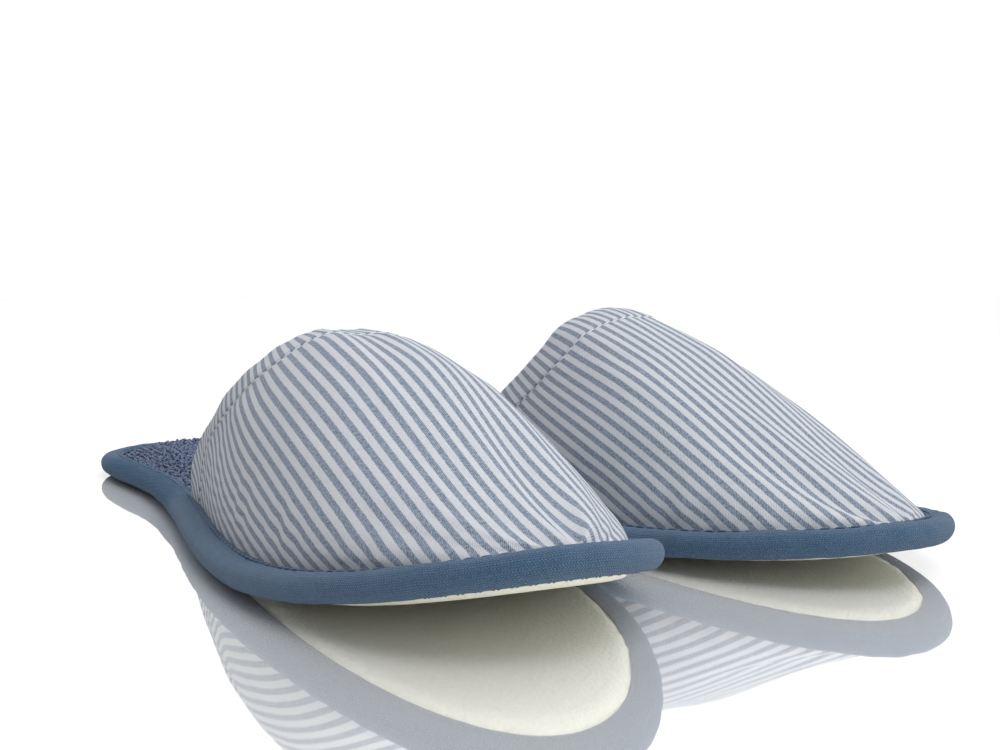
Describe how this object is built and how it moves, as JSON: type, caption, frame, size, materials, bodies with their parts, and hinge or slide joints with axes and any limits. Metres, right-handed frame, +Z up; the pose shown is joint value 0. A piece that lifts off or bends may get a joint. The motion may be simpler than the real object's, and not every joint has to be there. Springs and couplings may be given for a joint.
{
  "type": "spa slippers",
  "caption": "Closed-toe slip-on slippers with a padded striped cotton upper, towelling insole, tape-bound sole and open heel, standing side by side.",
  "frame": {"origin": "middle of the pair's footprint, on the floor", "axes": "+Z up; the toes point along -Y and the heels along +Y; the wearer's right slipper is at -X and the left at +X"},
  "size_m": [0.164, 0.2864, 0.0547],
  "materials": {
    "outsole": "cream textured non-slip sheet, matt",
    "foam": "pale foam and wadding, not seen",
    "terry": "slate-blue looped towelling",
    "tape": "blue herringbone cotton tape",
    "blue_thread": "blue sewing thread",
    "striped_cotton": "white cotton with blue-grey twill stripes",
    "lining": "plain white cloth",
    "white_thread": "white sewing thread"
  },
  "bodies": {
    "right_slipper": {"right_outsole": "outsole", "right_midsole_foam": "foam", "right_insole_sponge": "foam", "right_terry_insole": "terry", "right_binding_tape": "tape", "right_binding_needle_thread": "blue_thread", "right_binding_bobbin_thread": "blue_thread", "right_upper_fabric": "striped_cotton", "right_upper_wadding": "foam", "right_upper_lining": "lining", "right_opening_band": "striped_cotton", "right_band_thread": "white_thread"},
    "left_slipper": {"left_outsole": "outsole", "left_midsole_foam": "foam", "left_insole_sponge": "foam", "left_terry_insole": "terry", "left_binding_tape": "tape", "left_binding_needle_thread": "blue_thread", "left_binding_bobbin_thread": "blue_thread", "left_upper_fabric": "striped_cotton", "left_upper_wadding": "foam", "left_upper_lining": "lining", "left_opening_band": "striped_cotton", "left_band_thread": "white_thread"}
  },
  "joints": [
    {"name": "left_slipper_lift", "type": "slide", "parent": "right_slipper", "child": "left_slipper", "axis": [0, 0, 1], "range_m": [0, 0.25]}
  ]
}
